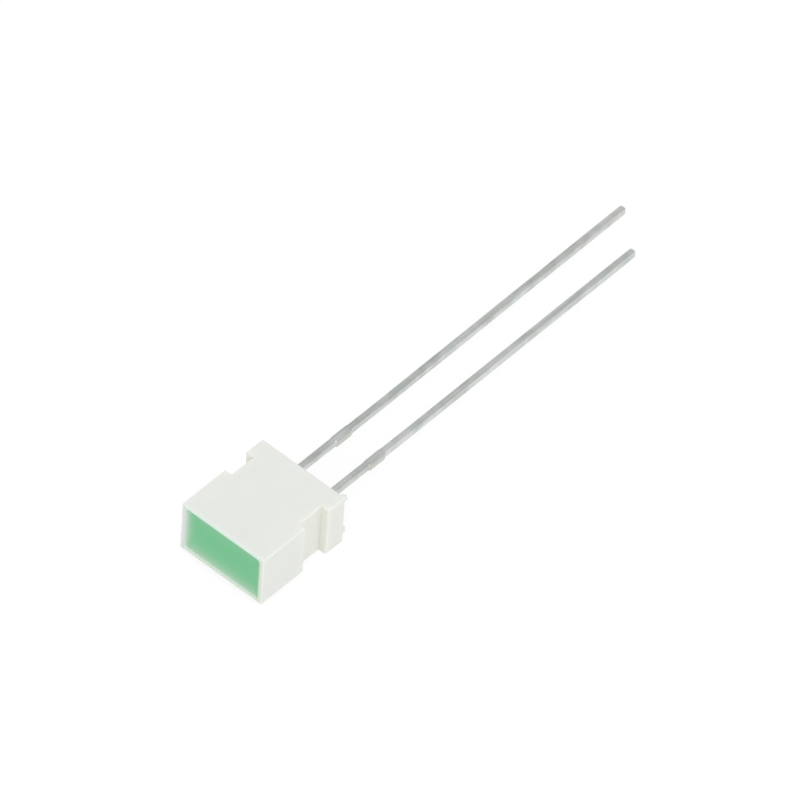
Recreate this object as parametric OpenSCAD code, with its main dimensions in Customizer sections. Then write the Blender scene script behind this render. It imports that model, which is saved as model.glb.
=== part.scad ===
// Rectangular through hole LED: a white moulded housing with a diffused green window
// and two straight tinned leads. The window faces -Y, the leads run along +Y and Z is up.
// The origin is the middle of the housing's rear face, halfway between the leads.

/* [Housing] */
// Width of the front block
housing_w = 6.15; // [5.9:0.05:6.8]
// Height, the same from front to rear
housing_h = 3.65; // [3.4:0.05:4.4]
// Length from the front rim to the rear face
housing_l = 6.7; // [6.4:0.05:7.6]
// Length of the wide front block
block_l = 3.5; // [3.3:0.05:3.8]
// Thickness of the rear flange
flange_t = 1.4; // [1.1:0.05:1.8]
// How far the flange stands past the block on each narrow side
flange_over = 0.05; // [0:0.01:0.1]
// Depth of the notch in each narrow side
notch_d = 0.48; // [0.3:0.02:0.56]
// Radius of the moulded outer edges
edge_r = 0.1; // [0.04:0.01:0.14]

/* [Rear nubs] */
// Radius of the two round nubs at the rear of the cathode side
nub_r = 0.22; // [0.15:0.01:0.3]
// How far each nub stands behind the rear face
nub_h = 0.48; // [0.35:0.01:0.6]
// Distance from each nub's outside to the wide top or bottom face
nub_inset = 0.28; // [0.16:0.02:0.6]
// Distance from each nub's outside to the narrow side
nub_side = 0.14; // [0.12:0.02:0.4]

/* [Cavity] */
// Thickness of the front rim at the narrow sides
rim_side = 0.315; // [0.25:0.005:0.4]
// Thickness of the front rim at the top and bottom
rim_top = 0.225; // [0.2:0.005:0.35]
// Width of the chamfer along the inside of the rim
rim_c = 0.04; // [0.02:0.01:0.08]
// Radius of the window's corners
window_r = 0.2; // [0.1:0.01:0.3]
// Length of the tapered reflector behind the rim
reflector_l = 3.2; // [2.8:0.05:3.3]
// Thickness of the narrow side walls at the notches
waist_wall = 0.42; // [0.35:0.01:0.5]
// Thickness of the top and bottom walls behind the reflector
throat_wall = 0.55; // [0.4:0.01:0.65]

/* [Encapsulant] */
// How far the middle of the window's surface lies behind the front rim
window_recess = 0.18; // [0.14:0.01:0.3]
// How far the filling climbs up the rim's inside
meniscus_rise = 0.05; // [0.02:0.01:0.1]
// Width of the sloping border that this leaves
meniscus_w = 0.2; // [0.1:0.02:0.4]
// How far the rear of the filling lies inside the rear face
rear_recess = 0.12; // [0.05:0.01:0.3]

/* [Leads] */
// Distance between the middles of the two leads
pitch = 2.54; // [2.4:0.02:2.7]
// Width of a lead, across the row
lead_w = 0.4; // [0.34:0.01:0.5]
// Thickness of a lead, which is the lead frame's sheet
lead_t = 0.5; // [0.4:0.01:0.56]
// Radius of the tinned edges
lead_r = 0.08; // [0.04:0.01:0.1]
// Length of the long anode lead behind the rear face
anode_l = 28.2; // [20:0.1:32]
// How much shorter the cathode lead is
lead_step = 2; // [1:0.1:4]
// Length of the slightly narrowed cut end
tip_l = 0.1; // [0.05:0.01:0.2]
// How far each side of the lead draws in at the cut end
tip_in = 0.07; // [0.03:0.01:0.12]
// Distance from the rear face to the middle of the cut tie bar stubs
tie_y = 4.48; // [3:0.02:8]
// Length of each stub along the lead
tie_l = 1.16; // [0.8:0.02:1.6]
// How far each stub stands out from the side of the lead
tie_out = 0.1; // [0.04:0.01:0.16]
// Height of each stub, which the shearing left thinner than the lead
tie_h = 0.24; // [0.16:0.02:0.32]
// Width of the locking notches inside the filling
lock_w = 0.5; // [0.3:0.05:0.8]
// Depth of the locking notches
lock_d = 0.08; // [0.05:0.01:0.12]

/* [Cup, chip and wire] */
// Distance from the front rim to the mouth of the cup
cup_back = 2.35; // [2:0.05:2.5]
// Outer diameter of the cup
cup_d = 1.3; // [1.2:0.02:1.4]
// Length of the cup
cup_l = 0.6; // [0.5:0.02:0.7]
// Diameter of the cup's mouth
mouth_d = 1.02; // [0.9:0.02:1.08]
// Diameter of the cup's floor
floor_d = 0.64; // [0.6:0.02:0.72]
// Depth of the cup
cup_deep = 0.35; // [0.3:0.01:0.4]
// Gap between the cup and the anode post
post_gap = 0.27; // [0.2:0.01:0.35]
// Distance from the mouth of the cup to the face of the anode post
post_back = 0.35; // [0.2:0.01:0.45]
// Length of the anode post's head
post_l = 0.7; // [0.4:0.05:0.8]
// Side of the square chip
chip_s = 0.3; // [0.24:0.01:0.34]
// Thickness of the chip
chip_t = 0.22; // [0.16:0.01:0.26]
// Diameter of the chip's contact pad
pad_d = 0.13; // [0.11:0.01:0.16]
// Thickness of the contact pad
pad_t = 0.012; // [0.01:0.001:0.02]
// Diameter of the silver glue under the chip
glue_d = 0.48; // [0.44:0.01:0.54]
// Thickness of the silver glue
glue_t = 0.03; // [0.02:0.005:0.04]
// Diameter of the bond wire
wire_d = 0.03; // [0.025:0.001:0.04]
// Diameter of the ball at the wire's first end
ball_d = 0.09; // [0.07:0.01:0.1]
// Thickness of the ball
ball_t = 0.03; // [0.02:0.005:0.04]
// How far the wire's loop reaches in front of the chip
wire_rise = 0.42; // [0.35:0.01:0.6]

/* [Hidden] */

// Facets of a full turn on the round pieces
turn = 48;
// Points along each rounded corner of the window
corner_steps = 6;
// Sides and rings of the bond wire
wire_sides = 8;
wire_rings = 20;
// Length by which one shape runs past another that it cuts or joins
over = 0.05;
// Thickness of the thin slices that the tapers are drawn between
slice = 0.01;

// Housing, from front to rear
waist_w = housing_w - 2 * notch_d;
flange_w = housing_w + 2 * flange_over;
front_y = -housing_l;
block_y = front_y + block_l;
flange_y = -flange_t;
reflector_y = front_y + reflector_l;
window_w = housing_w - 2 * rim_side;
window_h = housing_h - 2 * rim_top;
throat_w = waist_w - 2 * waist_wall;
throat_h = housing_h - 2 * throat_wall;
nub_x = flange_w / 2 - nub_side - nub_r;
nub_z = housing_h / 2 - nub_inset - nub_r;
edge_y = front_y + window_recess - meniscus_rise;

// Lead frame: the cathode is on +X and carries the cup in the middle of the window
cathode_x = pitch / 2;
anode_x = -pitch / 2;
cathode_l = anode_l - lead_step;
mouth_y = front_y + cup_back;
cup_floor_y = mouth_y + cup_deep;
cup_rear_y = mouth_y + cup_l;
post_y = mouth_y + post_back;
post_in_x = -cup_d / 2 - post_gap;
// The arm that carries the cup is a lead wide, and overlaps the rear of the cup
arm_y = cup_rear_y - over;
arm_w = lead_w;
lock_y = -flange_t / 2;

// Chip and wire, stacked from the floor of the cup towards the window
chip_rear_y = cup_floor_y - glue_t;
chip_front_y = chip_rear_y - chip_t;
pad_y = chip_front_y - pad_t;
ball_y = pad_y - ball_t;
wire_end_x = (anode_x - lead_w / 2 + post_in_x) / 2;

// Points of a rounded rectangle, centred
function rounded(w, h, r) = [
    for (corner = [0:3], step = [0:corner_steps])
        let (
            a = 90 * (corner + step / corner_steps),
            sx = (corner == 0 || corner == 3) ? 1 : -1,
            sz = (corner < 2) ? 1 : -1
        )
        [sx * (w / 2 - r) + r * cos(a), sz * (h / 2 - r) + r * sin(a)]
];

// A flat shape drawn in X and Z, made solid from y0 to y1
module along_y(y0, y1) {
    translate([0, y1, 0])
        rotate([90, 0, 0])
            linear_extrude(height = y1 - y0)
                children();
}

// A rectangle with true round corners
module soft_square(w, h, r) {
    square([w - 2 * r, h], center = true);
    square([w, h - 2 * r], center = true);
    for (sx = [-1, 1], sy = [-1, 1])
        translate([sx * (w / 2 - r), sy * (h / 2 - r)])
            circle(r = r, $fn = turn);
}

// Seen from the front: the block, the narrow waist and the flange behind each other
module front_form() {
    along_y(front_y, block_y)
        soft_square(housing_w, housing_h, edge_r);
    along_y(block_y, flange_y)
        soft_square(waist_w, housing_h, edge_r);
    along_y(flange_y, 0)
        soft_square(flange_w, housing_h, edge_r);
}

// Seen from above: the same three with round corners and square shoulders
module plan_form() {
    linear_extrude(height = housing_h, center = true) {
        translate([0, (front_y + block_y) / 2])
            soft_square(housing_w, block_l, edge_r);
        translate([-waist_w / 2, front_y + edge_r])
            square([waist_w, housing_l - 2 * edge_r]);
        translate([0, flange_y / 2])
            soft_square(flange_w, flange_t, edge_r);
    }
}

// Seen from the side: one rectangle from rim to rear face
module side_form() {
    translate([0, front_y / 2, 0])
        rotate([90, 0, 90])
            linear_extrude(height = flange_w + 2 * over, center = true)
                soft_square(housing_l, housing_h, edge_r);
}

// The cavity's width and height shrink from the window to the throat
module reflector_form() {
    hull() {
        along_y(front_y - slice, front_y)
            polygon(rounded(window_w, window_h, window_r));
        along_y(reflector_y, reflector_y + slice)
            polygon(rounded(throat_w, throat_h, window_r));
    }
}

module cavity() {
    reflector_form();
    along_y(reflector_y, over)
        polygon(rounded(throat_w, throat_h, window_r));
}

// The chamfer along the inside of the rim
module rim_chamfer() {
    hull() {
        along_y(front_y - slice, front_y)
            polygon(rounded(window_w + 2 * rim_c, window_h + 2 * rim_c, window_r + rim_c));
        along_y(front_y + rim_c, front_y + rim_c + slice)
            polygon(rounded(window_w, window_h, window_r));
    }
}

// One round nub with a domed end
module nub() {
    along_y(-over, nub_h - nub_r)
        circle(r = nub_r, $fn = turn);
    translate([0, nub_h - nub_r, 0])
        sphere(r = nub_r, $fn = turn);
}

module housing() {
    color("#ecede6")
        difference() {
            union() {
                intersection() {
                    front_form();
                    plan_form();
                    side_form();
                }
                for (side = [-1, 1])
                    translate([nub_x, 0, side * nub_z])
                        nub();
            }
            cavity();
            rim_chamfer();
        }
}

// Outline of a lead from above or from the side, narrowing at the cut end
module end_outline(length, side) {
    wide = side / 2 + over;
    narrow = side / 2 - tip_in - over * tip_in / tip_l;
    slope_y = length - tip_l - over * tip_l / tip_in;
    linear_extrude(height = lead_w + lead_t, center = true)
        polygon([
            [-wide, flange_y - over],
            [-wide, slope_y],
            [-narrow, length + over],
            [narrow, length + over],
            [wide, slope_y],
            [wide, flange_y - over]
        ]);
}

// The straight lead from inside the filling to its cut end, along its own middle line
module lead_bar(length) {
    intersection() {
        along_y(flange_y, length)
            soft_square(lead_w, lead_t, lead_r);
        end_outline(length, lead_w);
        rotate([0, 90, 0])
            end_outline(length, lead_t);
    }
    tie_stubs();
}

// What is left of the sheared tie bar on both sides of the lead
module tie_stubs() {
    reach = lead_w / 2 + tie_out;
    linear_extrude(height = tie_h, center = true)
        polygon([
            [-lead_w / 2, tie_y - tie_l / 2],
            [-reach, tie_y - tie_l / 2 + tie_out],
            [-reach, tie_y + tie_l / 2 - tie_out],
            [-lead_w / 2, tie_y + tie_l / 2],
            [lead_w / 2, tie_y + tie_l / 2],
            [reach, tie_y + tie_l / 2 - tie_out],
            [reach, tie_y - tie_l / 2 + tie_out],
            [lead_w / 2, tie_y - tie_l / 2]
        ]);
}

// Notches in both sides of the lead that keep it from pulling out
module lock_notches() {
    for (side = [-1, 1])
        translate([side * lead_w / 2, lock_y, 0])
            cube([2 * lock_d, lock_w, lead_t + 2 * over], center = true);
}

// The cup is a cone inside a round head
module cup_head() {
    along_y(mouth_y, cup_rear_y)
        circle(d = cup_d, $fn = turn);
}

module cup_hollow() {
    translate([0, cup_floor_y, 0])
        rotate([90, 0, 0])
            cylinder(h = cup_deep, d1 = floor_d, d2 = mouth_d, $fn = turn);
}

// The stamped arm that leads from the cathode lead to the cup
module cup_arm() {
    reach = cathode_x + lead_w / 2;
    linear_extrude(height = lead_t, center = true)
        polygon([
            [reach, flange_y],
            [reach, arm_y],
            [-cup_d / 2 + lead_r, arm_y],
            [-cup_d / 2 + lead_r, arm_y + arm_w],
            [reach - 2 * lead_w, arm_y + arm_w],
            [reach - lead_w, arm_y + arm_w + lead_w],
            [reach - lead_w, flange_y]
        ]);
}

module cathode_form() {
    difference() {
        union() {
            translate([cathode_x, 0, 0])
                lead_bar(cathode_l);
            cup_arm();
            cup_head();
        }
        cup_hollow();
        translate([cathode_x, 0, 0])
            lock_notches();
    }
}

// The stamped post whose widened head takes the end of the bond wire
module post() {
    outer_x = anode_x - lead_w / 2;
    inner_x = anode_x + lead_w / 2;
    linear_extrude(height = lead_t, center = true)
        polygon([
            [outer_x, flange_y],
            [outer_x, post_y],
            [post_in_x, post_y],
            [post_in_x, post_y + post_l / 2],
            [inner_x, post_y + post_l],
            [inner_x, flange_y]
        ]);
}

module anode_form() {
    difference() {
        union() {
            translate([anode_x, 0, 0])
                lead_bar(anode_l);
            post();
        }
        translate([anode_x, 0, 0])
            lock_notches();
    }
}

module chip_form() {
    translate([-chip_s / 2, chip_front_y, -chip_s / 2])
        cube([chip_s, chip_t, chip_s]);
    along_y(pad_y, chip_front_y)
        circle(d = pad_d, $fn = turn / 2);
}

module glue_form() {
    along_y(chip_rear_y, cup_floor_y)
        circle(d = glue_d, $fn = turn);
}

// Middle line of the wire: a cubic curve that leaves and lands along Y
function wire_point(t) =
    let (
        ends = [ball_y, post_y],
        crest = ball_y - 4 / 3 * wire_rise,
        w = [pow(1 - t, 3), 3 * pow(1 - t, 2) * t, 3 * (1 - t) * pow(t, 2), pow(t, 3)]
    )
    [wire_end_x * (w[2] + w[3]), ends[0] * w[0] + crest * (w[1] + w[2]) + ends[1] * w[3]];

// Direction of the wire, taken from two close points on the curve
function wire_way(t) =
    let (
        step = 0.001,
        d = wire_point(min(t + step, 1)) - wire_point(max(t - step, 0))
    )
    (t == 0) ? [0, -1] : (t == 1) ? [0, 1] : d / norm(d);

module wire_form() {
    r = wire_d / 2;
    points = [
        for (ring = [0:wire_rings], side = [0:wire_sides - 1])
            let (
                t = ring / wire_rings,
                p = wire_point(t),
                way = wire_way(t),
                a = 360 * side / wire_sides
            )
            [p[0] - way[1] * r * cos(a), p[1] + way[0] * r * cos(a), r * sin(a)]
    ];
    walls = [
        for (ring = [0:wire_rings - 1], side = [0:wire_sides - 1])
            let (
                a = ring * wire_sides + side,
                b = ring * wire_sides + (side + 1) % wire_sides
            )
            [a, b, b + wire_sides, a + wire_sides]
    ];
    first = [for (side = [wire_sides - 1:-1:0]) side];
    last = [for (side = [0:wire_sides - 1]) wire_rings * wire_sides + side];
    polyhedron(points = points, faces = concat([first], walls, [last]), convexity = 4);
    along_y(ball_y, pad_y)
        circle(d = ball_d, $fn = turn / 2);
}

// What the sagging middle of the window leaves free
module window_dish() {
    hull() {
        along_y(edge_y - slice, edge_y)
            polygon(rounded(window_w, window_h, window_r));
        along_y(front_y + window_recess - slice, front_y + window_recess)
            polygon(rounded(window_w - 2 * meniscus_w, window_h - 2 * meniscus_w, window_r));
    }
}

module encapsulant() {
    color("#7cc294")
        difference() {
            intersection() {
                cavity();
                along_y(edge_y, -rear_recess)
                    square([housing_w, housing_h], center = true);
            }
            window_dish();
            cathode_form();
            anode_form();
            glue_form();
            chip_form();
            wire_form();
        }
}

module cathode_lead() {
    color("#c9cbc8")
        cathode_form();
}

module anode_lead() {
    color("#c9cbc8")
        anode_form();
}

module led_chip() {
    color("#b8c25a")
        chip_form();
}

module die_attach() {
    color("#a9a9a6")
        glue_form();
}

module bond_wire() {
    color("#d9ae4a")
        wire_form();
}

housing();
encapsulant();
cathode_lead();
anode_lead();
led_chip();
die_attach();
bond_wire();
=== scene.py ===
import math

import bmesh
import bpy
from mathutils import Matrix, Vector


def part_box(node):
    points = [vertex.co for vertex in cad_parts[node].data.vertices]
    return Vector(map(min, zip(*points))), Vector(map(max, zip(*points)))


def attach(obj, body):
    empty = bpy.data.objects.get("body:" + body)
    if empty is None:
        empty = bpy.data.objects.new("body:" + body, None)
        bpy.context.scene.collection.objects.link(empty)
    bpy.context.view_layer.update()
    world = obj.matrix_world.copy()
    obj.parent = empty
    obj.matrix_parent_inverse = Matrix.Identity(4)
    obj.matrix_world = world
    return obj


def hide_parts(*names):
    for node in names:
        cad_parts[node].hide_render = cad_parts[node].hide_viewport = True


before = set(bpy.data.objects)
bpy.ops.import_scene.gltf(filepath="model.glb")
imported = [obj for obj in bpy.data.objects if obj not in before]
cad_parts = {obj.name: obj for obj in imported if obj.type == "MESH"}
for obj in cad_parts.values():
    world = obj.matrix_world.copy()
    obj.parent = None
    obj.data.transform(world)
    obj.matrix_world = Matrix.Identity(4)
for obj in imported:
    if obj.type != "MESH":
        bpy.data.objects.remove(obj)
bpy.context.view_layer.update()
print("frame loaded:", ", ".join(sorted(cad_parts)))

mm = 0.001
hair = 1e-5   # mm, less than any real distance on the part


def nodeBox(name):
    # lowest and highest corner of a CAD node, in millimetres
    low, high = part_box(name)
    return low / mm, high / mm


housingLow, housingHigh = nodeBox("housing")
fillLow, fillHigh = nodeBox("encapsulant")
anodeLow, anodeHigh = nodeBox("anode_lead")
cathodeHigh = nodeBox("cathode_lead")[1]


# Camera: the direction and the framing of the photograph

cameraSettings = {
    "back": (0.4221, -0.5139, 0.7468),   # from the object to the lens
    "right": (0.7388, 0.6724, 0.0451),   # the picture's horizontal
    "centre": (1.390, 6.291, 3.600),     # point in the middle of the picture, mm
    "distance": 1500.0,                  # nearly parallel view, mm
    "width": 44.60,                      # what the picture is wide at the object, mm
    "sensor": 36.0,
    "clip": (50.0, 10000.0),             # mm
}


def makeCamera():
    c = cameraSettings
    back = Vector(c["back"]).normalized()
    right = Vector(c["right"])
    right = (right - back * right.dot(back)).normalized()
    up = back.cross(right)
    data = bpy.data.cameras.new("camera")
    data.sensor_width = c["sensor"]
    data.lens = c["sensor"] * c["distance"] / c["width"]
    data.clip_start = c["clip"][0] * mm
    data.clip_end = c["clip"][1] * mm
    camera = bpy.data.objects.new("camera", data)
    turn = Matrix((right, up, back)).transposed().to_4x4()
    place = (Vector(c["centre"]) + back * c["distance"]) * mm
    camera.matrix_world = Matrix.Translation(place) @ turn
    bpy.context.scene.collection.objects.link(camera)
    bpy.context.scene.camera = camera


makeCamera()
print("camera placed")


# Small helpers for materials

plainWhite = (1.0, 1.0, 1.0, 1.0)

# where a Mix node takes its share and its two colours
shareIn = 0
firstIn = 6
secondIn = 7


def hexColour(text):
    # sRGB hex to the linear colour that a shader takes
    values = [int(text[i:i + 2], 16) / 255 for i in (1, 3, 5)]
    linear = [v / 12.92 if v <= 0.04045 else ((v + 0.055) / 1.055) ** 2.4 for v in values]
    return (*linear, 1.0)


def perMetre(sizeMm):
    # scale of a pattern whose features are this many millimetres wide
    return 1 / (sizeMm * mm)


def addNode(tree, kind, settings=None):
    # a setting is one of the node's own or an input, which takes a value, a hex colour, a socket
    # or another node's first output in use
    node = tree.nodes.new(kind)
    for name, value in (settings or {}).items():
        if isinstance(value, bpy.types.Node):
            value = next(socket for socket in value.outputs if socket.enabled)
        if isinstance(value, str) and value.startswith("#"):
            value = hexColour(value)
        if isinstance(value, bpy.types.NodeSocket):
            tree.links.new(value, node.inputs[name])
        elif isinstance(name, str) and hasattr(node, name):
            setattr(node, name, value)
        else:
            node.inputs[name].default_value = value
    return node


def startMaterial(name):
    material = bpy.data.materials.new(name)
    material.use_nodes = True
    material.node_tree.nodes.clear()
    return material, material.node_tree


def endMaterial(tree, shader):
    addNode(tree, "ShaderNodeOutputMaterial", {"Surface": shader})


def dress(node, material):
    # gives a CAD node its finished material
    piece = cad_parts[node]
    piece.data.materials.clear()
    piece.data.materials.append(material)


# White moulded polycarbonate: satin, with a fine spark eroded grain, and slightly translucent.
# Painted light: the filling's green glow on the rim, and a lighter colour against the shade at the
# notches and on the recess wall

housingFinish = {
    "white": "#eceeea",
    "whiteLow": "#e9ebe5",
    "top": "#d9f3e5",         # painted green glow of the filling on the rim beside the window, one hue for each side
    "bottom": "#deecdb",
    "left": "#e0e7e5",
    "right": "#d5eace",
    "thin": "#f2f2e8",        # painted light at the notches: lighter than the white against their shade, and tinged by the filling behind the narrow walls
    "thinMiddle": 2.3,        # middle of the notches, mm in front of the rear face
    "wall": "#e3efe6",        # painted light on the recess wall where the filling meets it: the filling's green glow, and lighter against the corner's shade
    "cloud": 1.6,             # mm
    "grain": 0.09,            # mm
    "grainDeep": 0.006,       # mm
    "grainStrength": 0.3,
    "roughness": 0.42,
    "ior": 1.58,
    "depthLight": 0.45,       # share of light that scatters inside, less in the recess
    "scatter": 0.5,           # how far it goes, mm
    "scatterColours": (0.7, 0.65, 0.6),
}

# where each area of the housing has nothing of its look and where it has all of it, mm

housingAreas = {
    "rim": (0.42, 0.0),        # from the opening
    "right": (-0.5, 0.5),      # from the middle, towards the rim's right end
    "top": (-0.5, 0.5),
    "ends": (-0.08, 0.08),     # from the rim's corners, towards its short ends
    "notch": (1.5, 0.7),       # from the notches' middle
    "outside": (-1.0, 0.0),    # from the plane of the narrow side
    "sunk": (0.01, 0.14),      # behind the rim
    "wall": (0.08, 0.03),      # from the opening
    "recess": (0.5, 0.3),      # behind the rim
    "besideWindow": (0.05, 0.30),   # from the opening
    "behindWindow": (0.3, 0.5),     # behind the rim
}


def makeHousingMaterial():
    c = housingFinish
    material, tree = startMaterial("mouldedWhitePolycarbonate")
    place = addNode(tree, "ShaderNodeTexCoord").outputs["Object"]
    x, y, z = addNode(tree, "ShaderNodeSeparateXYZ", {"Vector": place}).outputs
    # distances from the window's opening: to the side, upwards, and behind the rim's plane
    across = addNode(tree, "ShaderNodeMath", {"operation": "ABSOLUTE", 0: x})
    upright = addNode(tree, "ShaderNodeMath", {"operation": "ABSOLUTE", 0: z})
    besideX = addNode(tree, "ShaderNodeMath", {"operation": "SUBTRACT", 0: across, 1: fillHigh.x * mm})
    besideZ = addNode(tree, "ShaderNodeMath", {"operation": "SUBTRACT", 0: upright, 1: fillHigh.z * mm})
    beside = addNode(tree, "ShaderNodeMath", {"operation": "MAXIMUM", 0: besideX, 1: besideZ})
    behind = addNode(tree, "ShaderNodeMath", {"operation": "SUBTRACT", 0: y, 1: housingLow.y * mm})
    around = addNode(tree, "ShaderNodeMath", {"operation": "ADD", 0: beside, 1: behind})
    corner = addNode(tree, "ShaderNodeMath", {"operation": "SUBTRACT", 0: besideX, 1: besideZ})
    # distances from the notches' middle and from the narrow sides
    along = addNode(tree, "ShaderNodeMath", {"operation": "ADD", 0: y, 1: c["thinMiddle"] * mm})
    apart = addNode(tree, "ShaderNodeMath", {"operation": "ABSOLUTE", 0: along})
    outward = addNode(tree, "ShaderNodeMath", {"operation": "SUBTRACT", 0: across, 1: housingHigh.x * mm})
    measured = {"rim": around, "right": x, "top": z, "ends": corner, "notch": apart,
                "outside": outward, "sunk": behind, "wall": beside, "recess": behind,
                "besideWindow": beside, "behindWindow": behind}
    areas = {}
    for name, distance in measured.items():
        none, full = housingAreas[name]
        areas[name] = addNode(tree, "ShaderNodeMapRange",
                              {"interpolation_type": "SMOOTHSTEP", "Value": distance,
                               "From Min": none * mm, "From Max": full * mm})
    # painted light at the notches on the narrow sides: lighter against their shade, and tinged by the
    # filling behind the narrow walls
    thin = addNode(tree, "ShaderNodeMath",
                   {"operation": "MULTIPLY", 0: areas["notch"], 1: areas["outside"]})
    # painted light on the recess wall: the green glow and the lift against the shade grow towards the
    # filling, and stop behind it
    onWall = addNode(tree, "ShaderNodeMath",
                     {"operation": "MULTIPLY", 0: areas["wall"], 1: areas["recess"]})
    paintedWallLight = addNode(tree, "ShaderNodeMath", {"operation": "MULTIPLY", 0: areas["sunk"], 1: onWall})
    # painted green glow of the filling on the rim, in a different hue on each side
    ends = addNode(tree, "ShaderNodeMix", {"data_type": "RGBA", shareIn: areas["right"],
                                           firstIn: c["left"], secondIn: c["right"]})
    longSides = addNode(tree, "ShaderNodeMix", {"data_type": "RGBA", shareIn: areas["top"],
                                                firstIn: c["bottom"], secondIn: c["top"]})
    paintedRimGlow = addNode(tree, "ShaderNodeMix", {"data_type": "RGBA", shareIn: areas["ends"],
                                           firstIn: longSides, secondIn: ends})
    cloud = addNode(tree, "ShaderNodeTexNoise",
                    {"Vector": place, "Scale": perMetre(c["cloud"]), "Detail": 3.0})
    colour = addNode(tree, "ShaderNodeMix", {"data_type": "RGBA", shareIn: cloud,
                                             firstIn: c["white"], secondIn: c["whiteLow"]})
    # laid over the white: the painted glow on the rim, then the painted light at the notches and on the
    # recess wall
    for share, layer in ((areas["rim"], paintedRimGlow), (thin, c["thin"]), (paintedWallLight, c["wall"])):
        colour = addNode(tree, "ShaderNodeMix",
                         {"data_type": "RGBA", shareIn: share, firstIn: colour, secondIn: layer})
    grain = addNode(tree, "ShaderNodeTexNoise",
                    {"Vector": place, "Scale": perMetre(c["grain"]), "Detail": 2.0})
    bump = addNode(tree, "ShaderNodeBump", {"Height": grain, "Strength": c["grainStrength"],
                                            "Distance": c["grainDeep"] * mm})
    solid = addNode(tree, "ShaderNodeMath", {"operation": "MAXIMUM", 0: areas["besideWindow"],
                                             1: areas["behindWindow"]})
    scattered = addNode(tree, "ShaderNodeMath",
                        {"operation": "MULTIPLY", 0: solid, 1: c["depthLight"]})
    shader = addNode(tree, "ShaderNodeBsdfPrincipled",
                     {"Base Color": colour, "Normal": bump, "Roughness": c["roughness"],
                      "IOR": c["ior"], "Subsurface Weight": scattered,
                      "Subsurface Radius": c["scatterColours"],
                      "Subsurface Scale": c["scatter"] * mm})
    endMaterial(tree, shader)
    return material


# Green diffused epoxy: cast, milky with fine diffusant, with a smooth skin that climbs the walls.
# A painted lighter band along the walls stands for the white wall seen through it and light on its skin,
# most at the left and the bottom

fillFinish = {
    "green": "#68c58a",
    # painted lighter colour of the band along the walls, for the white wall seen through the epoxy and
    # light on its skin
    "edge": "#c7dcc9",
    "left": (0.21, 1.0),    # how far the border reaches, mm, and its share of the edge colour
    "bottom": (0.38, 0.75),
    "right": (0.15, 0.50),
    "top": (0.28, 0.50),
    "speck": 0.05,          # mm
    "speckDeep": 0.002,     # mm
    "speckStrength": 0.1,
    "roughness": 0.30,
    "ior": 1.52,
}


def makeFillMaterial():
    c = fillFinish
    material, tree = startMaterial("greenDiffusedEpoxy")
    place = addNode(tree, "ShaderNodeTexCoord").outputs["Object"]
    x, _, z = addNode(tree, "ShaderNodeSeparateXYZ", {"Vector": place}).outputs
    borders = []
    for across, wall, side in ((x, fillLow.x, "left"), (z, fillLow.z, "bottom"),
                               (x, fillHigh.x, "right"), (z, fillHigh.z, "top")):
        # the border's share fades by the exponent of the distance from its wall
        reach, share = c[side]
        inward = addNode(tree, "ShaderNodeMath", {"operation": "SUBTRACT", 0: across, 1: wall * mm})
        away = addNode(tree, "ShaderNodeMath", {"operation": "ABSOLUTE", 0: inward})
        depth = addNode(tree, "ShaderNodeMath",
                        {"operation": "MULTIPLY", 0: away, 1: -1 / (reach * mm)})
        seen = addNode(tree, "ShaderNodeMath", {"operation": "EXPONENT", 0: depth})
        borders.append(addNode(tree, "ShaderNodeMath", {"operation": "MULTIPLY", 0: seen, 1: share}))
    # painted light: the lighter band along the walls, strongest at the left and the bottom
    paintedBorderLight = borders[0]
    for other in borders[1:]:
        paintedBorderLight = addNode(tree, "ShaderNodeMath", {"operation": "MAXIMUM", 0: paintedBorderLight, 1: other})
    colour = addNode(tree, "ShaderNodeMix", {"data_type": "RGBA", shareIn: paintedBorderLight,
                                             firstIn: c["green"], secondIn: c["edge"]})
    speck = addNode(tree, "ShaderNodeTexNoise",
                    {"Vector": place, "Scale": perMetre(c["speck"]), "Detail": 1.0})
    bump = addNode(tree, "ShaderNodeBump", {"Height": speck, "Strength": c["speckStrength"],
                                            "Distance": c["speckDeep"] * mm})
    shader = addNode(tree, "ShaderNodeBsdfPrincipled",
                     {"Base Color": colour, "Normal": bump, "Roughness": c["roughness"],
                      "IOR": c["ior"]})
    endMaterial(tree, shader)
    return material


# Stamped leads: bars that the hot tin rounded, with the sheared stubs of the tie bar, a slight
# bend from handling, and the stamped ends inside the filling

leadShape = {
    "wide": 0.40,             # mm
    "thick": 0.50,
    "apart": 2.54,
    "edge": 0.08,             # radius of the long edges
    "edgeSteps": 4,
    "start": -1.4,            # where the plain bar begins
    "stubFront": (3.74, 3.88),   # the stub rises here
    "stubRear": (4.96, 5.28),    # and sinks again here
    "stubOut": (0.035, 0.085),   # on the -X side and on the +X side
    "lock": (-0.95, -0.45),   # locking notch inside the filling
    "lockDeep": 0.08,
    "lockEnd": 0.01,          # length of its steep ends
    "stepRun": (0.0, 1.1),    # handling has bent each lead a little to +X here
    "leanFrom": 7.5,          # and back to -X and up from here on
    "tipRound": 0.16,         # radius of the cut end's edge
    "tipAngles": (0, 18, 36, 54, 72),   # rows of that radius, degrees
    "stepsInSlope": 6,
    "sharp": 60,              # edges that turn more than this stay sharp, degrees
}


def smoothStep(value, low, high):
    t = min(max((value - low) / (high - low), 0.0), 1.0)
    return t * t * (3 - 2 * t)


def cutAcross(bm, places):
    for y in places:
        geometry = bm.verts[:] + bm.edges[:] + bm.faces[:]
        bmesh.ops.bisect_plane(bm, geom=geometry, plane_co=(0, y, 0), plane_no=(0, 1, 0))


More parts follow.
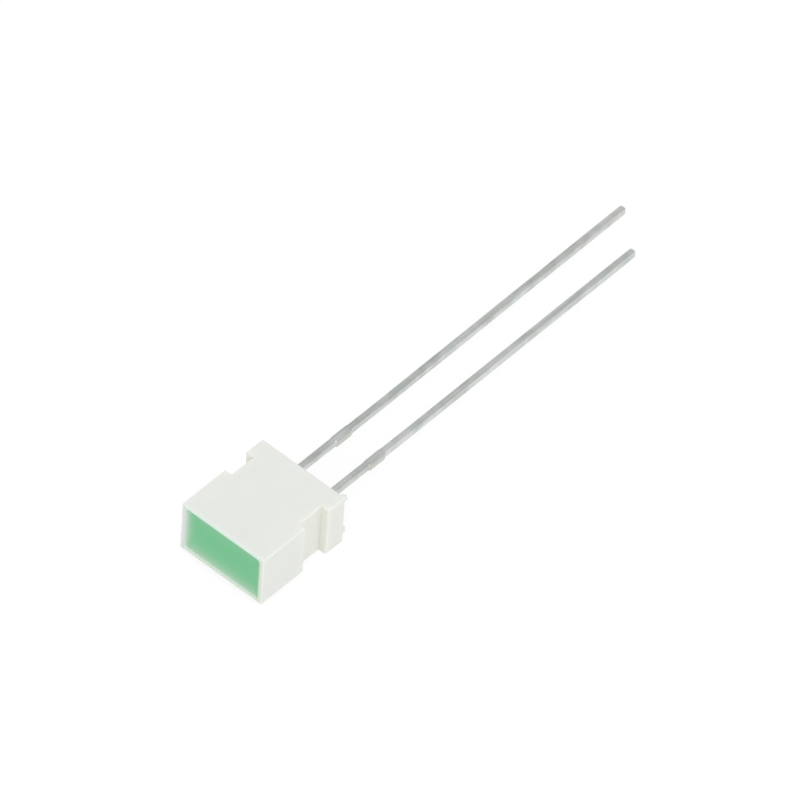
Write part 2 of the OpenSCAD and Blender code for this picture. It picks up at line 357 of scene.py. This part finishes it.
def makeBar(bm, end, bend):
    # one lead around its own middle line, in millimetres. The attribute marks its sheared faces
    s = leadShape
    sheared = bm.verts.layers.float.new("sheared")
    bmesh.ops.create_cube(bm, size=1.0)
    bmesh.ops.scale(bm, vec=(s["wide"], end - s["start"], s["thick"]), verts=bm.verts)
    bmesh.ops.translate(bm, vec=(0, (end + s["start"]) / 2, 0), verts=bm.verts)
    longEdges = [e for e in bm.edges if abs(e.verts[0].co.y - e.verts[1].co.y) > s["thick"]]
    bmesh.ops.bevel(bm, geom=longEdges, offset=s["edge"], offset_type="OFFSET",
                    segments=s["edgeSteps"], profile=0.5, affect="EDGES", material=-1)
    steps = s["stepsInSlope"]
    slopes = [low + (high - low) * i / steps
              for low, high in (s["stepRun"], s["stubFront"], s["stubRear"])
              for i in range(steps + 1)]
    front, rear = s["lock"]
    lock = [front, front + s["lockEnd"], rear - s["lockEnd"], rear]
    tip = [end - s["tipRound"] * (1 - math.sin(math.radians(angle))) for angle in s["tipAngles"]]
    cutAcross(bm, slopes + lock + tip + [s["leanFrom"]])
    half = s["wide"] / 2
    for vert in bm.verts:
        x, y, _ = vert.co
        stub = smoothStep(y, *s["stubFront"]) * (1 - smoothStep(y, *s["stubRear"]))
        locked = smoothStep(y, *lock[:2]) * (1 - smoothStep(y, *lock[2:]))
        if abs(x) > half - s["edge"] - hair:
            # both sides, with their rounded edges, go out at the stubs and in at the locks
            side = math.copysign(1.0, x)
            vert.co.x += side * (s["stubOut"][x > 0] * stub - s["lockDeep"] * locked)
            vert[sheared] = stub * (abs(x) - half + s["edge"]) / s["edge"]
        # towards the cut end the section shrinks along a quarter circle
        past = min(max((y - tip[0]) / s["tipRound"], 0.0), 1.0)
        drawn = s["tipRound"] * (1 - math.sqrt(1 - past * past))
        vert.co.x *= 1 - drawn / half
        vert.co.z *= 1 - drawn / (s["thick"] / 2)
        leaning = max(y - s["leanFrom"], 0.0)
        vert.co.x += bend["out"] * smoothStep(y, *s["stepRun"]) - bend["back"] * leaning
        vert.co.z += bend["up"] * leaning


def addPlate(bm, corners):
    # a flat stamped plate of the sheet's thickness, from its corners in X and Y
    thick = leadShape["thick"]
    outline = [bm.verts.new((x, y, -thick / 2)) for x, y in corners]
    base = bm.faces.new(outline)
    lifted = bmesh.ops.extrude_face_region(bm, geom=[base])["geom"]
    upper = [part for part in lifted if isinstance(part, bmesh.types.BMVert)]
    bmesh.ops.translate(bm, vec=(0, 0, thick), verts=upper)


def finishLead(bm, name, node):
    bmesh.ops.recalc_face_normals(bm, faces=bm.faces)
    for face in bm.faces:
        face.smooth = True
    for edge in bm.edges:
        edge.smooth = edge.calc_face_angle(0.0) < math.radians(leadShape["sharp"])
    bmesh.ops.scale(bm, vec=(mm, mm, mm), verts=bm.verts)
    mesh = bpy.data.meshes.new(name)
    bm.to_mesh(mesh)
    bm.free()
    piece = bpy.data.objects.new(name, mesh)
    bpy.context.scene.collection.objects.link(piece)
    normals = piece.modifiers.new("flatSides", "WEIGHTED_NORMAL")
    normals.keep_sharp = True
    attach(piece, "root")
    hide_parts(node)
    return piece


# The long lead ends in a post whose head faces the cup

anodeShape = {
    "face": -4.0,        # front of the head, mm
    "headLong": 0.7,
    "inner": -0.92,      # side of the head that faces the cup
    "bend": {
        "out": 0.086,    # to +X near the housing, mm
        "back": 0.0046,  # to -X beyond it, mm for each mm
        "up": 0.0060,
    },
}


def makeAnode():
    s = leadShape
    a = anodeShape
    bm = bmesh.new()
    makeBar(bm, anodeHigh.y, a["bend"])
    bmesh.ops.translate(bm, vec=(-s["apart"] / 2, 0, 0), verts=bm.verts)
    outer = -(s["apart"] + s["wide"]) / 2
    inner = -(s["apart"] - s["wide"]) / 2
    addPlate(bm, [(outer, s["start"]), (outer, a["face"]), (a["inner"], a["face"]),
                  (a["inner"], a["face"] + a["headLong"] / 2), (inner, a["face"] + a["headLong"]),
                  (inner, s["start"])])
    return finishLead(bm, "anodeLead", "anode_lead")


# The short lead carries the cup on an arm

cathodeShape = {
    "mouth": -4.35,      # mm
    "rear": -3.75,
    "floor": -4.0,
    "outside": 0.65,     # radii, mm
    "mouthWide": 0.51,
    "floorWide": 0.32,
    "turn": 48,          # steps around the cup
    "armFront": -3.8,
    "armIn": -0.57,
    "bend": {
        "out": 0.060,    # to +X near the housing, mm
        "back": 0.0029,  # to -X beyond it, mm for each mm
        "up": 0.0051,
    },
}


def addCup(bm):
    # a round head with a cone in it, turned about Y
    c = cathodeShape
    profile = [(0, c["rear"]), (c["outside"], c["rear"]), (c["outside"], c["mouth"]),
               (c["mouthWide"], c["mouth"]), (c["floorWide"], c["floor"]), (0, c["floor"])]
    verts = [bm.verts.new((x, y, 0)) for x, y in profile]
    edges = [bm.edges.new(pair) for pair in zip(verts, verts[1:])]
    bmesh.ops.spin(bm, geom=verts + edges, cent=(0, 0, 0), axis=(0, 1, 0),
                   angle=math.tau, steps=c["turn"], use_merge=True)
    cupVerts = [v for v in bm.verts if v.co.y < c["rear"] + hair]
    bmesh.ops.remove_doubles(bm, verts=cupVerts, dist=hair)


def makeCathode():
    s = leadShape
    c = cathodeShape
    bm = bmesh.new()
    makeBar(bm, cathodeHigh.y, c["bend"])
    bmesh.ops.translate(bm, vec=(s["apart"] / 2, 0, 0), verts=bm.verts)
    addCup(bm)
    outer = (s["apart"] + s["wide"]) / 2
    inner = (s["apart"] - s["wide"]) / 2
    armRear = c["armFront"] + s["wide"]
    addPlate(bm, [(outer, s["start"]), (outer, c["armFront"]), (c["armIn"], c["armFront"]),
                  (c["armIn"], armRear), (inner - s["wide"], armRear),
                  (inner, armRear + s["wide"]), (inner, s["start"])])
    return finishLead(bm, "cathodeLead", "cathode_lead")


# Tinned steel: hot dipped, soft streaks along the lead, duller in colour where the tie bar was sheared

leadFinish = {
    "warm": "#dfdad9",      # slight hues of the tin's skin
    "cool": "#d2dcda",
    "dark": "#bbbfbb",
    "streakAcross": 0.14,   # mm
    "streakAlong": 3.5,     # mm
    "pool": 0.9,            # slow changes of the coat's thickness, mm
    "coat": (0.75, 1.25),   # sums of both patterns where the coat is at its brightest and darkest
    "coatDeep": 0.012,      # mm
    "coatStrength": 0.35,
    "hue": 1.4,             # mm
    "sheared": "#c7c9c3",   # the cut ends of the tie bar, duller than the tin
    "bare": "#c6c2b5",      # where the shear tore the tin off its copper flash
    "bareSpot": 0.40,       # mm
    "torn": (0.48, 0.75),   # values of that pattern where nothing is bare and where all is
    "cutEnd": "#a3a39f",    # the cut ends, with the core bare
    "cutEndReach": (0.12, 0.02),   # from the end, where the tin is whole and where it is gone, mm
    "between": 0.5,         # less than half the gap between the leads, mm
    "roughness": (0.20, 0.36),
}


def makeLeadMaterial():
    c = leadFinish
    material, tree = startMaterial("hotDippedTinnedSteel")
    place = addNode(tree, "ShaderNodeTexCoord").outputs["Object"]
    across = perMetre(c["streakAcross"])
    stretch = addNode(tree, "ShaderNodeMapping",
                      {"Vector": place, "Scale": (across, perMetre(c["streakAlong"]), across)})
    streak = addNode(tree, "ShaderNodeTexNoise", {"Vector": stretch, "Scale": 1.0, "Detail": 4.0})
    pool = addNode(tree, "ShaderNodeTexNoise",
                   {"Vector": place, "Scale": perMetre(c["pool"]), "Detail": 2.0})
    both = addNode(tree, "ShaderNodeMath", {"operation": "ADD", 0: streak, 1: pool})
    coat = addNode(tree, "ShaderNodeMapRange",
                   {"Value": both, "From Min": c["coat"][0], "From Max": c["coat"][1]})
    hue = addNode(tree, "ShaderNodeTexNoise",
                  {"Vector": place, "Scale": perMetre(c["hue"]), "Detail": 1.0})
    skin = addNode(tree, "ShaderNodeMix", {"data_type": "RGBA", shareIn: hue,
                                           firstIn: c["warm"], secondIn: c["cool"]})
    tin = addNode(tree, "ShaderNodeMix", {"data_type": "RGBA", shareIn: coat,
                                          firstIn: skin, secondIn: c["dark"]})
    # the faces that the shear left when it took the tie bar away
    cut = addNode(tree, "ShaderNodeAttribute", {"attribute_name": "sheared"}).outputs["Fac"]
    spots = addNode(tree, "ShaderNodeTexNoise",
                    {"Vector": place, "Scale": perMetre(c["bareSpot"]), "Detail": 1.0})
    torn = addNode(tree, "ShaderNodeMapRange",
                   {"Value": spots, "From Min": c["torn"][0], "From Max": c["torn"][1]})
    face = addNode(tree, "ShaderNodeMix", {"data_type": "RGBA", shareIn: torn,
                                           firstIn: c["sheared"], secondIn: c["bare"]})
    shorn = addNode(tree, "ShaderNodeMix", {"data_type": "RGBA", shareIn: cut,
                                            firstIn: tin, secondIn: face})
    # the short lead lies at +X: it is counted on by what the long one has more
    x, y, _ = addNode(tree, "ShaderNodeSeparateXYZ", {"Vector": place}).outputs
    spare = addNode(tree, "ShaderNodeMapRange",
                    {"interpolation_type": "SMOOTHSTEP", "Value": x,
                     "From Min": -c["between"] * mm, "From Max": c["between"] * mm,
                     "To Max": (anodeHigh.y - cathodeHigh.y) * mm})
    along = addNode(tree, "ShaderNodeMath", {"operation": "ADD", 0: y, 1: spare})
    whole, gone = c["cutEndReach"]
    ended = addNode(tree, "ShaderNodeMapRange",
                    {"interpolation_type": "SMOOTHSTEP", "Value": along,
                     "From Min": (anodeHigh.y - whole) * mm, "From Max": (anodeHigh.y - gone) * mm})
    colour = addNode(tree, "ShaderNodeMix", {"data_type": "RGBA", shareIn: ended,
                                             firstIn: shorn, secondIn: c["cutEnd"]})
    rough = addNode(tree, "ShaderNodeMapRange",
                    {"Value": coat, "To Min": c["roughness"][0], "To Max": c["roughness"][1]})
    bump = addNode(tree, "ShaderNodeBump", {"Height": coat, "Strength": c["coatStrength"],
                                            "Distance": c["coatDeep"] * mm})
    shader = addNode(tree, "ShaderNodeBsdfPrincipled",
                     {"Base Color": colour, "Normal": bump, "Roughness": rough, "Metallic": 1.0})
    endMaterial(tree, shader)
    return material


# Gallium phosphide, silver glue and gold: small parts cast into the filling

innerFinish = {
    "led_chip": ("sawnGalliumPhosphide", "#b5bd4a", 0.0, 0.35),   # colour, metallic and roughness
    "die_attach": ("curedSilverGlue", "#a9a9a4", 0.7, 0.6),
    "bond_wire": ("drawnGold", "#e3b95a", 1.0, 0.25),
}


def makeInnerMaterial(name, colour, metallic, roughness):
    material, tree = startMaterial(name)
    shader = addNode(tree, "ShaderNodeBsdfPrincipled",
                     {"Base Color": colour, "Metallic": metallic, "Roughness": roughness})
    endMaterial(tree, shader)
    return material


dress("housing", makeHousingMaterial())
dress("encapsulant", makeFillMaterial())
leadMaterial = makeLeadMaterial()
for lead in (makeAnode(), makeCathode()):
    lead.data.materials.append(leadMaterial)
for node, finish in innerFinish.items():
    dress(node, makeInnerMaterial(*finish))
print("leads made and all pieces dressed")


# The table: a plane on which the part really rests, on the housing's rear lower edge
# and the end of the long lead

tableSettings = {
    "radius": 500.0,        # mm
    "toeIn": 0.1,           # where the long lead's rounded end touches, mm from the end
    "white": "#f0f0f0",
    "glow": 0.8,            # share of plain white in what the camera sees
    "glowStrength": 1.06,
}


def seenDirectly(tree):
    # 1 for what the lens, a reflection or a look through glass shows, 0 for the light it gives
    rays = addNode(tree, "ShaderNodeLightPath").outputs
    direct = addNode(tree, "ShaderNodeMath", {"operation": "MAXIMUM", 0: rays["Is Camera Ray"],
                                              1: rays["Is Glossy Ray"]})
    return addNode(tree, "ShaderNodeMath", {"operation": "MAXIMUM", 0: direct,
                                            1: rays["Is Transmission Ray"]})


def makeTable():
    c = tableSettings
    heel = Vector((0.0, 0.0, housingLow.z))
    risen = anodeShape["bend"]["up"] * (anodeHigh.y - leadShape["leanFrom"])
    toe = Vector((0.0, anodeHigh.y - c["toeIn"], anodeLow.z + risen))
    slope = math.atan2(toe.z - heel.z, toe.y - heel.y)
    mesh = bpy.data.meshes.new("table")
    bm = bmesh.new()
    bmesh.ops.create_circle(bm, cap_ends=True, segments=64, radius=c["radius"] * mm)
    bmesh.ops.rotate(bm, verts=bm.verts, matrix=Matrix.Rotation(slope, 3, "X"))
    bmesh.ops.translate(bm, verts=bm.verts, vec=heel * mm)
    bm.to_mesh(mesh)
    bm.free()
    table = bpy.data.objects.new("table", mesh)
    bpy.context.scene.collection.objects.link(table)
    material, tree = startMaterial("whiteTable")
    paper = addNode(tree, "ShaderNodeBsdfDiffuse", {"Color": c["white"]})
    glow = addNode(tree, "ShaderNodeEmission", {"Color": plainWhite, "Strength": c["glowStrength"]})
    seen = addNode(tree, "ShaderNodeMixShader", {"Fac": c["glow"], 1: paper, 2: glow})
    endMaterial(tree, addNode(tree, "ShaderNodeMixShader",
                              {"Fac": seenDirectly(tree), 1: paper, 2: seen}))
    mesh.materials.append(material)


makeTable()


# Soft studio light: an even tent and one large panel over the camera's side. What the lens and
# the metal see of the tent is a white backdrop all round and a greyer top

lightSettings = {
    "tentStrength": 0.76,
    "backdropTop": (0.10, 0.25),        # the backdrop ends between these heights (sine of elevation)
    "panelFrom": (0.46, -0.36, 0.81),   # direction of the panel
    "panelAway": 400.0,                 # mm
    "panelSide": 420.0,                 # mm
    "panelPower": 0.36,                 # share of full light that it adds on a face turned to it
}


def makeTent():
    c = lightSettings
    world = bpy.data.worlds.new("tent")
    bpy.context.scene.world = world
    world.use_nodes = True
    tree = world.node_tree
    tree.nodes.clear()
    tent = addNode(tree, "ShaderNodeBackground", {"Color": plainWhite, "Strength": c["tentStrength"]})
    way = addNode(tree, "ShaderNodeTexCoord").outputs["Generated"]
    upward = addNode(tree, "ShaderNodeSeparateXYZ", {"Vector": way}).outputs["Z"]
    brightness = addNode(tree, "ShaderNodeMapRange",
                         {"interpolation_type": "SMOOTHSTEP", "Value": upward,
                          "From Min": c["backdropTop"][0], "From Max": c["backdropTop"][1],
                          "To Min": 1.0, "To Max": c["tentStrength"]})
    backdrop = addNode(tree, "ShaderNodeBackground", {"Color": plainWhite, "Strength": brightness})
    mix = addNode(tree, "ShaderNodeMixShader", {"Fac": seenDirectly(tree), 1: tent, 2: backdrop})
    addNode(tree, "ShaderNodeOutputWorld", {"Surface": mix})


def makePanel():
    c = lightSettings
    away = Vector(c["panelFrom"]).normalized()
    panel = bpy.data.lights.new("panel", "AREA")
    panel.size = c["panelSide"] * mm
    # a square lamp's watts for that light at that distance, over a Lambert face
    panel.energy = c["panelPower"] * math.pi ** 2 * (c["panelAway"] * mm) ** 2
    lamp = bpy.data.objects.new("panel", panel)
    lamp.matrix_world = (Matrix.Translation(away * c["panelAway"] * mm)
                         @ away.to_track_quat("Z", "Y").to_matrix().to_4x4())
    bpy.context.scene.collection.objects.link(lamp)


makeTent()
makePanel()
bpy.context.scene.view_settings.view_transform = "Standard"
print("table and light ready")
